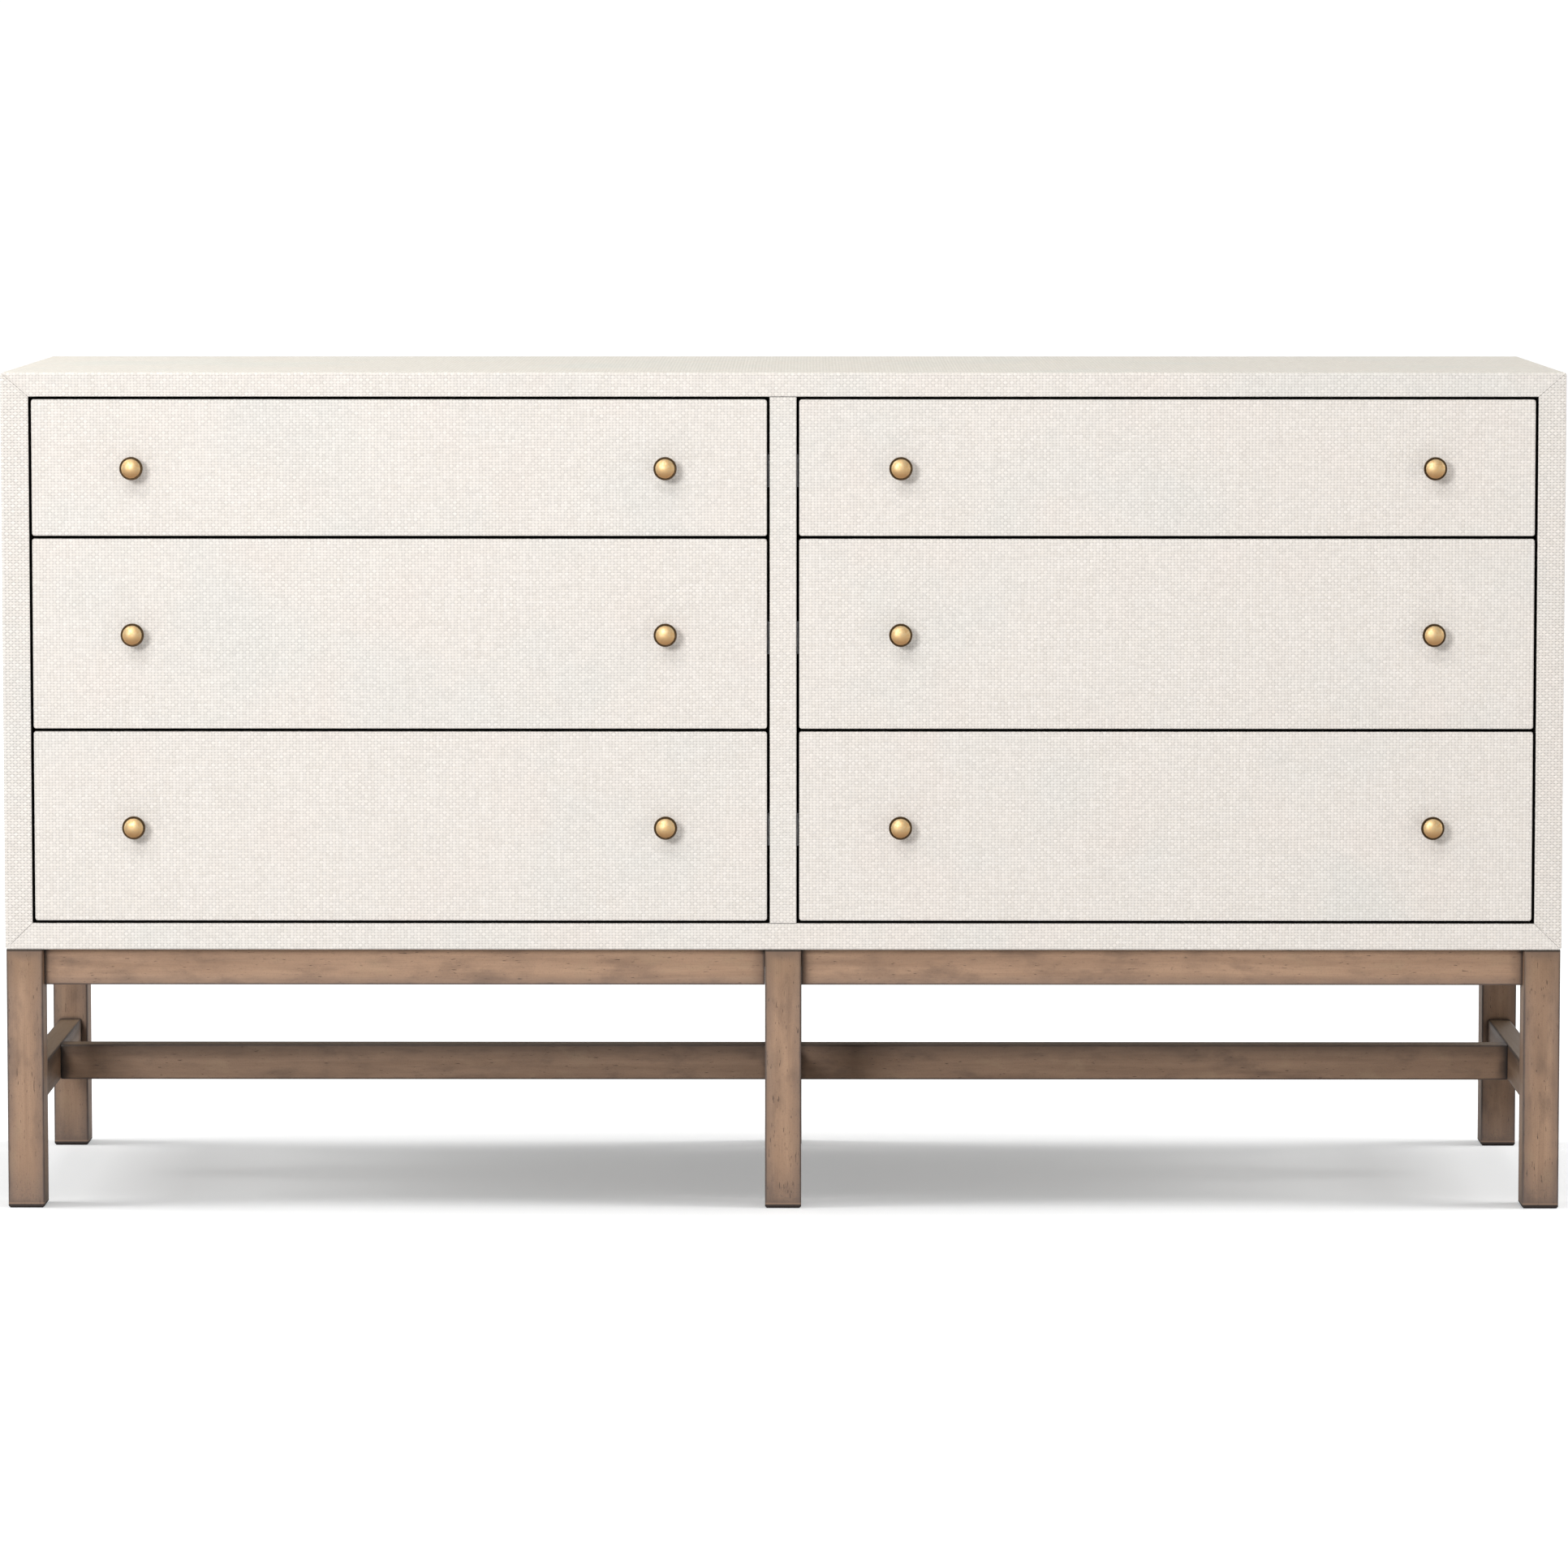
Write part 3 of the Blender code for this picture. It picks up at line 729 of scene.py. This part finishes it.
def dress_slides(steel):
    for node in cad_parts:
        if "_slide_" in node:
            dress(node, steel)


# Shapes

def block(low, high):
    """A box from its lowest to its highest corner."""
    low, high = Vector(low), Vector(high)
    bm = bmesh.new()
    bmesh.ops.create_cube(bm, size=1.0)
    bmesh.ops.scale(bm, vec=high - low, verts=bm.verts)
    bmesh.ops.translate(bm, vec=(low + high) / 2, verts=bm.verts)
    return bm


def ease(bm, radius, segments, sharper_than=math.radians(30)):
    """Rounds every edge where two faces meet at more than this angle."""
    edges = [edge for edge in bm.edges if edge.calc_face_angle(0.0) > sharper_than]
    bmesh.ops.bevel(
        bm, geom=edges, offset=radius, segments=segments, profile=0.5, affect="EDGES",
        clamp_overlap=True,
    )


def face_out(bm):
    """Turns every face to the outside of its body."""
    bm.normal_update()
    bmesh.ops.recalc_face_normals(bm, faces=bm.faces)


def turned(profile, segments):
    """A body turned about Z from (radius, height) points that start and end on the axis."""
    bm = bmesh.new()
    points = [bm.verts.new((radius, 0, height)) for radius, height in profile]
    lines = [bm.edges.new(pair) for pair in zip(points, points[1:])]
    bmesh.ops.spin(
        bm, geom=points + lines, axis=(0, 0, 1), cent=(0, 0, 0), steps=segments, angle=math.tau
    )
    bmesh.ops.remove_doubles(bm, verts=bm.verts, dist=1e-7)
    face_out(bm)
    return bm


def prism(outline, axis, start, end):
    """An outline in the plane across an axis, drawn out along it from start to end."""
    bm = bmesh.new()

    def corner(point):
        place = [0.0, 0.0, 0.0]
        place[axis] = start
        for index, value in zip(OTHER_AXES[axis], point):
            place[index] = value
        return bm.verts.new(place)

    face = bm.faces.new([corner(point) for point in outline])
    pushed = bmesh.ops.extrude_face_region(bm, geom=[face])
    far = [part for part in pushed["geom"] if isinstance(part, bmesh.types.BMVert)]
    shift = Vector((0.0, 0.0, 0.0))
    shift[axis] = end - start
    bmesh.ops.translate(bm, vec=shift, verts=far)
    face_out(bm)
    return bm


def arc(centre, radii, start, end, steps):
    """Points on an ellipse's arc, from one angle in degrees to another."""
    turns = (math.radians(start + (end - start) * step / steps) for step in range(steps + 1))
    return [
        (centre[0] + radii[0] * math.cos(turn), centre[1] + radii[1] * math.sin(turn))
        for turn in turns
    ]


def mesh_of(name, bm, smooth_under=math.radians(35)):
    """A mesh from a bmesh, which is freed. Edges flatter than smooth_under look round."""
    mesh = bpy.data.meshes.new(name)
    bm.to_mesh(mesh)
    bm.free()
    mesh.shade_smooth()
    mesh.set_sharp_from_angle(angle=smooth_under)
    return mesh


def joined(parts):
    """One bmesh that holds several separate bodies."""
    whole = bmesh.new()
    for part in parts:
        held = bpy.data.meshes.new("part")
        part.to_mesh(held)
        part.free()
        whole.from_mesh(held)
        bpy.data.meshes.remove(held)
    return whole


def less(bm, cutters):
    """The body with others cut out of it."""
    scene = bpy.context.scene.collection
    target = bpy.data.objects.new("target", mesh_of("target", bm))
    scene.objects.link(target)
    made = [target]
    for cutter in cutters:
        tool = bpy.data.objects.new("cutter", mesh_of("cutter", cutter))
        scene.objects.link(tool)
        made.append(tool)
        cut = target.modifiers.new("cut", "BOOLEAN")
        cut.operation = "DIFFERENCE"
        cut.solver = "EXACT"
        cut.object = tool
    bpy.context.view_layer.update()
    graph = bpy.context.evaluated_depsgraph_get()
    result = bmesh.new()
    result.from_mesh(target.evaluated_get(graph).data)
    for thing in made:
        mesh = thing.data
        bpy.data.objects.remove(thing)
        bpy.data.meshes.remove(mesh)
    return result


def piece(name, mesh, finish, body, place=(0.0, 0.0, 0.0)):
    """A new visible piece that rides on a body, with the given finish where its mesh has none."""
    made = bpy.data.objects.new(name, mesh)
    bpy.context.scene.collection.objects.link(made)
    if not mesh.materials:
        mesh.materials.append(finish)
    made.location = place
    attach(made, body)
    return made


# Knobs

def knob_mesh():
    """A button knob whose axis is the piece's own Y, standing on the drawer front at zero."""
    ledge = KNOB_LEDGE_HEIGHT
    under = ledge - KNOB_RIM_HEIGHT
    profile = [(0.0, KNOB_LIFT), (KNOB_FOOT_RADIUS - 0.0004, KNOB_LIFT)]
    profile += arc((KNOB_FOOT_RADIUS - 0.0004, 0.0010), (0.0004, 0.0007), -80, 80, 5)
    profile += arc((KNOB_FOOT_RADIUS, 0.0042), (0.0025, 0.0024), 265, 180, 6)
    profile += arc((KNOB_RADIUS - 0.0006, 0.0088), (0.0072, 0.0080), 180, 98, 10)
    profile += arc((KNOB_RADIUS - 0.0007, under + 0.0007), (0.0007, 0.0007), -90, 0, 5)
    profile += arc((KNOB_RADIUS - 0.0005, ledge - 0.0005), (0.0005, 0.0005), 0, 90, 5)
    profile += [(KNOB_DOME_RADIUS + 0.0003, ledge), (KNOB_DOME_RADIUS, ledge - 0.0002)]
    dome = arc((0.0, ledge), (KNOB_DOME_RADIUS, KNOB_HEIGHT - ledge), 2, 90, 14)
    bm = turned(profile + dome[:-1] + [(0.0, KNOB_HEIGHT)], KNOB_SEGMENTS)
    for vert in bm.verts:
        x, y, z = vert.co
        vert.co = (x, -z, y)
    face_out(bm)
    return mesh_of("knob", bm, math.radians(50))


def add_knobs(brass):
    mesh = knob_mesh()
    for drawer in DRAWERS:
        for side in COLUMNS:
            node = f"{drawer}_knob_{side}"
            low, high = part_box(node)
            place = ((low.x + high.x) / 2, FRONT_Y, (low.z + high.z) / 2)
            made = piece(
                f"{node}_turned", mesh, brass, f"{drawer}_drawer", place
            )
            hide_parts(node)


# Drawer boxes

def screw(head, face_axis, direction):
    """A round screw head with a cross recess, its top towards direction along an axis."""
    radius, height = head
    profile = [(0.0, 0.0), (radius, 0.0)]
    profile += arc((0.0, height * 0.2), (radius, height * 0.8), 4, 90, 5)[:-1]
    bm = turned(profile + [(0.0, height)], HEAD_SEGMENTS)
    wide, deep = radius * 0.95, height * 0.55
    narrow = radius * 0.11
    slots = [
        block((-wide / 2, -narrow, height - deep), (wide / 2, narrow, height * 1.5)),
        block((-narrow, -wide / 2, height - deep), (narrow, wide / 2, height * 1.5)),
    ]
    bm = less(bm, slots)
    for vert in bm.verts:
        x, y, z = vert.co
        place = [x, y]
        place.insert(face_axis, z * direction)
        vert.co = place
    face_out(bm)
    return bm


def at_places(mesh, places):
    """Copies of a mesh at several places, as one bmesh."""
    whole = bmesh.new()
    for place in places:
        first = len(whole.verts)
        whole.from_mesh(mesh)
        whole.verts.ensure_lookup_table()
        bmesh.ops.translate(whole, vec=place, verts=whole.verts[first:])
    return whole


def side_outline(depth, height, spare=0.0):
    """A side board seen along X, with dovetails at both ends. spare makes the tails larger."""
    tails = max(2, round(height / DOVETAIL_PITCH))
    flare = BOARD * DOVETAIL_SLOPE

    def pin_edge(index, direction, at_end):
        """Height of a pin's edge: where the pin stops and the tail beside it begins."""
        middle = height * index / tails
        half = EDGE_PIN_WIDTH if index in (0, tails) else PIN_HALF_WIDTH
        half += 0.0 if at_end else flare
        return middle + direction * (half - spare) - height / 2

    end, base = depth / 2, depth / 2 - BOARD - spare
    right = [(base, -height / 2)]
    for tail in range(tails):
        right += [
            (base, pin_edge(tail, 1, False)),
            (end, pin_edge(tail, 1, True)),
            (end, pin_edge(tail + 1, -1, True)),
            (base, pin_edge(tail + 1, -1, False)),
        ]
    right += [(base, height / 2)]
    return right + [(-y, z) for y, z in reversed(right)]


def box_boards(width, depth, height):
    """Meshes of a dovetailed drawer box's boards, about the middle of the box."""
    floor = -height / 2 + BOTTOM_SET_UP
    half_x, half_y = width / 2, depth / 2
    held_x, held_y = half_x - BOARD + GROOVE_DEPTH, half_y - BOARD + GROOVE_DEPTH

    def groove():
        return block((-held_x, -held_y, floor), (held_x, held_y, floor + BOTTOM_THICKNESS))

    meshes = {}
    outline = side_outline(depth, height)
    tails = side_outline(depth, height, GLUE_LINE)
    for side, inner in (("left", -half_x + BOARD), ("right", half_x)):
        bm = less(prism(outline, X, inner - BOARD, inner), [groove()])
        ease(bm, BOARD_EASING, 1, math.radians(60))
        meshes[f"{side}_board"] = mesh_of(f"box_{side}_board", bm)
    reach = half_x + 0.001
    for end, y in (("front", -half_y), ("back", half_y - BOARD)):
        bm = block((-half_x, y, -height / 2), (half_x, y + BOARD, height / 2))
        cutters = [
            groove(),
            prism(tails, X, -reach, -half_x + BOARD + GLUE_LINE),
            prism(tails, X, half_x - BOARD - GLUE_LINE, reach),
        ]
        bm = less(bm, cutters)
        meshes[f"{end}_board"] = mesh_of(f"box_{end}_board", bm)
    slack, top_slack = GROOVE_SLACK, GROOVE_SLACK / 4
    bottom = block(
        (-held_x + slack, -held_y + slack, floor + top_slack),
        (held_x - slack, held_y - slack, floor + BOTTOM_THICKNESS - top_slack),
    )
    meshes["bottom_panel"] = mesh_of("box_bottom_panel", bottom)
    return meshes


def box_finishes():
    birch, plywood = (0.66, 0.50, 0.34, 1.0), (0.62, 0.45, 0.29, 1.0)
    shadow = (0.50, 0.35, 0.21, 1.0)
    long_grain = board_material("box_side_wood", birch, shadow, Y)
    cross_grain = board_material("box_end_wood", birch, shadow, X)
    return {
        "left_board": long_grain,
        "right_board": long_grain,
        "front_board": cross_grain,
        "back_board": cross_grain,
        "bottom_panel": board_material("box_bottom_ply", plywood, shadow, X, 0.6, 0.5),
    }


def add_drawer_boxes(finishes, steel):
    """Five boards in place of each CAD box, and the screws that hold its front and knobs."""
    made_for = {}
    head = mesh_of("screw_head", screw(FIXING_HEAD, Y, 1))
    for drawer in DRAWERS:
        low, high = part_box(f"{drawer}_drawer_box")
        size = tuple(round(value, SIZE_DIGITS) for value in high - low)
        if size not in made_for:
            made_for[size] = box_boards(*size)
        middle = (low + high) / 2
        body = f"{drawer}_drawer"
        for name, mesh in made_for[size].items():
            made = piece(
                f"{drawer}_box_{name}", mesh, finishes[name], body, middle
            )
            if name == "bottom_panel":
                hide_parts(f"{drawer}_drawer_box")
        inner_face = low.y + BOARD
        places = []
        for side in COLUMNS:
            knob_low, knob_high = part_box(f"{drawer}_knob_{side}")
            places.append(((knob_low.x + knob_high.x) / 2, (knob_low.z + knob_high.z) / 2))
        for x in (low.x + END_SCREW_INSET, middle.x, high.x - END_SCREW_INSET):
            places += [(x, low.z + LOW_SCREW_INSET), (x, high.z - HIGH_SCREW_INSET)]
        heads = at_places(head, [(x, inner_face, z) for x, z in places])
        piece(
            f"{drawer}_fixing_screws",
            mesh_of("fixing_screws", heads),
            steel,
            body,
        )


# Drawer slides

def runner_outline(direction):
    """The drawer's half of a slide seen along Y: a flat strip with two lips into the channel."""
    half, web, reach = RUNNER_HALF_HEIGHT, RUNNER_GAUGE, RUNNER_REACH
    inner = half - RUNNER_GAUGE
    points = [
        (0.0, -half), (reach, -half), (reach, -inner), (web, -inner),
        (web, inner), (reach, inner), (reach, half), (0.0, half),
    ]
    return [(direction * x, z) for x, z in points]


def add_runners(steel):
    """The moving halves of the slides, on the drawers, and the ball cages in the fixed halves."""
    head = mesh_of("runner_screw", screw(RUNNER_HEAD, X, 1))
    ball = bmesh.new()
    bmesh.ops.create_uvsphere(ball, u_segments=16, v_segments=10, radius=BALL_RADIUS)
    ball = mesh_of("ball", ball)
    for drawer in DRAWERS:
        box_low, box_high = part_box(f"{drawer}_drawer_box")
        for side, wall, direction in (
            ("left", box_low.x - RUNNER_GAP, -1),
            ("right", box_high.x + RUNNER_GAP, 1),
        ):
            low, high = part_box(f"{drawer}_slide_{side}")
            z = (low.z + high.z) / 2
            start, end = low.y + RUNNER_INSET, high.y - RUNNER_INSET
            strip = prism(runner_outline(direction), Y, start, end)
            bmesh.ops.translate(strip, vec=(wall, 0.0, z), verts=strip.verts)
            places = [(0.0, start + (end - start) * share, 0.0) for share in RUNNER_SCREWS]
            heads = at_places(head, places)
            for vert in heads.verts:
                vert.co.x = wall + direction * (RUNNER_GAUGE + vert.co.x)
                vert.co.z += z
            face_out(heads)
            piece(
                f"{drawer}_runner_{side}",
                mesh_of("runner", joined([strip, heads])),
                steel,
                f"{drawer}_drawer",
            )

            # The cage lies against the channel's web and holds a row of balls above and below
            web = low.x + RUNNER_GAUGE if direction < 0 else high.x - RUNNER_GAUGE
            inward = -direction
            near, far = web + inward * CAGE_NEAR, web + inward * CAGE_FAR
            reach = (high.z - low.z) / 2 - RUNNER_GAUGE - CAGE_CLEARANCE
            cage_start = low.y + CAGE_INSET
            cage_low = (min(near, far), cage_start, z - reach)
            cage_high = (max(near, far), cage_start + CAGE_LENGTH, z + reach)
            cage = block(cage_low, cage_high)
            step = CAGE_LENGTH / BALLS_IN_A_ROW
            offset = (RUNNER_HALF_HEIGHT + reach) / 2
            row = [
                (web + inward * BALL_FROM_WEB, cage_start + step * (index + 0.5), z + level)
                for index in range(BALLS_IN_A_ROW)
                for level in (-offset, offset)
            ]
            piece(
                f"{drawer}_ball_cage_{side}",
                mesh_of("ball_cage", joined([cage, at_places(ball, row)])),
                steel,
                "cabinet",
            )


# Base and back

def add_corner_blocks(steel):
    """Glued and screwed blocks in the corners between the rails and the legs."""
    pale, dark = (0.36, 0.22, 0.13, 1.0), (0.22, 0.13, 0.08, 1.0)
    wood = board_material("corner_block_wood", pale, dark, X)
    top = CASE_BOTTOM - BLOCK_DROP
    side, nose, gap = BLOCK_SIDE, BLOCK_NOSE, BLOCK_GAP
    head = mesh_of("block_screw", screw(BLOCK_HEAD, Z, -1))
    heads = []
    for row, into in (("front", 1), ("back", -1)):
        leg_low, leg_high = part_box(f"{row}_left_leg")
        y = leg_high.y + gap if into > 0 else leg_low.y - gap
        rail_half = (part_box("centre_cross_rail")[1].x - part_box("centre_cross_rail")[0].x) / 2
        left_x, right_x = leg_high.x + gap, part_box(f"{row}_right_leg")[0].x - gap
        spots = (
            ("left", left_x, 1),
            ("centre_left", -rail_half - gap, -1),
            ("centre_right", rail_half + gap, 1),
            ("right", right_x, -1),
        )
        for name, x, turn in spots:
            outline = [
                (x, y),
                (x + turn * side, y),
                (x + turn * side, y + into * nose),
                (x + turn * nose, y + into * side),
                (x, y + into * side),
            ]
            bm = prism(outline, Z, top - BLOCK_THICKNESS, top)
            ease(bm, BLOCK_EASING, 2)
            piece(
                f"{row}_{name}_corner_block",
                mesh_of("corner_block", bm),
                wood,
                "cabinet",
            )
            for share_x, share_y in BLOCK_SCREWS:
                head_x, head_y = x + turn * side * share_x, y + into * side * share_y
                heads.append((head_x, head_y, top - BLOCK_THICKNESS))
    piece(
        "corner_block_screws",
        mesh_of("block_screws", at_places(head, heads)),
        steel,
        "cabinet",
    )


def add_back_screws(steel):
    low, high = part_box("back_panel")
    head = mesh_of("back_screw", screw(BACK_HEAD, Y, 1))
    inset, across, up = BACK_SCREW_INSET, BACK_SCREWS_ACROSS, BACK_SCREWS_UP
    places = []
    for index in range(across + 1):
        x = low.x + inset + (high.x - low.x - 2 * inset) * index / across
        places += [(x, high.y, low.z + inset), (x, high.y, high.z - inset)]
    for index in range(1, up):
        z = low.z + inset + (high.z - low.z - 2 * inset) * index / up
        places += [(x, high.y, z) for x in (low.x + inset, 0.0, high.x - inset)]
    piece(
        "back_panel_screws",
        mesh_of("back_screws", at_places(head, places)),
        steel,
        "cabinet",
    )


# Stage

def make_floor():
    bm = bmesh.new()
    half = FLOOR_SIZE / 2
    corners = ((-half, -half), (half, -half), (half, half), (-half, half))
    bm.faces.new([bm.verts.new((x, y, 0.0)) for x, y in corners])
    mesh = bpy.data.meshes.new("floor")
    bm.to_mesh(mesh)
    bm.free()
    floor = bpy.data.objects.new("floor", mesh)
    bpy.context.scene.collection.objects.link(floor)
    made, graph, shader = material("floor_paper", 0.9)
    seen = graph.to_camera()
    fibre = graph.noise(graph.add("ShaderNodeTexCoord").outputs["Object"], 60.0, 3.0)
    tint = graph.ramp(fibre, 0.3, 0.7, 0.98, 1.0)
    level = graph.mix(seen, FLOOR_BOUNCE, FLOOR_SEEN) * tint
    graph.plug(shader.inputs["Base Color"], graph.vector(level, level, level))
    shader.inputs["Specular IOR Level"].default_value = 0.0
    shader.inputs["Emission Color"].default_value = FLOOR_GLOW
    graph.plug(shader.inputs["Emission Strength"], seen * FLOOR_LIFT)
    mesh.materials.append(made)


def make_world():
    world = bpy.data.worlds.new("studio")
    bpy.context.scene.world = world
    world.use_nodes = True
    graph = Graph(world.node_tree)
    background = world.node_tree.nodes["Background"]
    seen = graph.to_camera()
    graph.plug(background.inputs["Strength"], graph.mix(seen, WORLD_LIGHT, WORLD_SEEN))
    background.inputs["Color"].default_value = (1.0, 1.0, 1.0, 1.0)


def softbox(name, place, target, width, height, brightness, colour):
    """An area light that gives a white surface facing it, at its target, this brightness."""
    place, target = Vector(place), Vector(target)
    light = bpy.data.lights.new(name, "AREA")
    light.shape = "RECTANGLE"
    light.size, light.size_y = width, height
    light.color = colour
    light.energy = brightness * math.pi**2 * (target - place).length_squared
    lamp = bpy.data.objects.new(name, light)
    lamp.location = place
    lamp.rotation_euler = (target - place).to_track_quat("-Z", "Y").to_euler()
    lamp.light_linking.receiver_collection = bpy.data.collections["not_the_floor"]
    bpy.context.scene.collection.objects.link(lamp)


def far_light(name, lean, brightness, spread, lights):
    """A light from above, leaning by angles about X and Y, on a collection of receivers."""
    light = bpy.data.lights.new(name, "SUN")
    light.energy = brightness * math.pi
    light.angle = spread
    lamp = bpy.data.objects.new(name, light)
    lamp.rotation_euler = (*lean, 0.0)
    lamp.light_linking.receiver_collection = bpy.data.collections[lights]
    bpy.context.scene.collection.objects.link(lamp)


def make_lights():
    for name, state in (("not_the_floor", "EXCLUDE"), ("only_the_floor", "INCLUDE")):
        group = bpy.data.collections.new(name)
        group.objects.link(bpy.data.objects["floor"])
        group.collection_objects[0].light_linking.link_state = state
    far_light(
        "overhead", (OVERHEAD_LEAN, 0.0), OVERHEAD_LIGHT, OVERHEAD_SPREAD, "not_the_floor"
    )
    for degrees, brightness in FLOOR_LIGHTS:
        lean = math.radians(degrees)
        strength = brightness / math.cos(lean)
        far_light("floor_light", (0.0, lean), strength, FLOOR_LIGHT_SPREAD, "only_the_floor")

    for box in SOFTBOXES:
        softbox(*box)


def make_camera():
    data = bpy.data.cameras.new("camera")
    data.sensor_width = 36.0
    data.lens = CAMERA_LENS
    data.shift_y = CAMERA_SHIFT_Y
    camera = bpy.data.objects.new("camera", data)
    camera.location = (CAMERA_SIDE, FRONT_Y - CAMERA_DISTANCE, CAMERA_HEIGHT)
    camera.rotation_euler = (math.pi / 2 - CAMERA_DOWN, 0.0, CAMERA_TURN)
    bpy.context.scene.collection.objects.link(camera)
    bpy.context.scene.camera = camera


make_camera()
make_world()
make_floor()
make_lights()
dress_case()
dress_base()
steel_finish = steel_material()
dress_slides(steel_finish)
add_knobs(brass_material())
add_drawer_boxes(box_finishes(), steel_finish)
add_runners(steel_finish)
add_corner_blocks(steel_finish)
add_back_screws(steel_finish)
bpy.context.scene.view_settings.view_transform = "Standard"
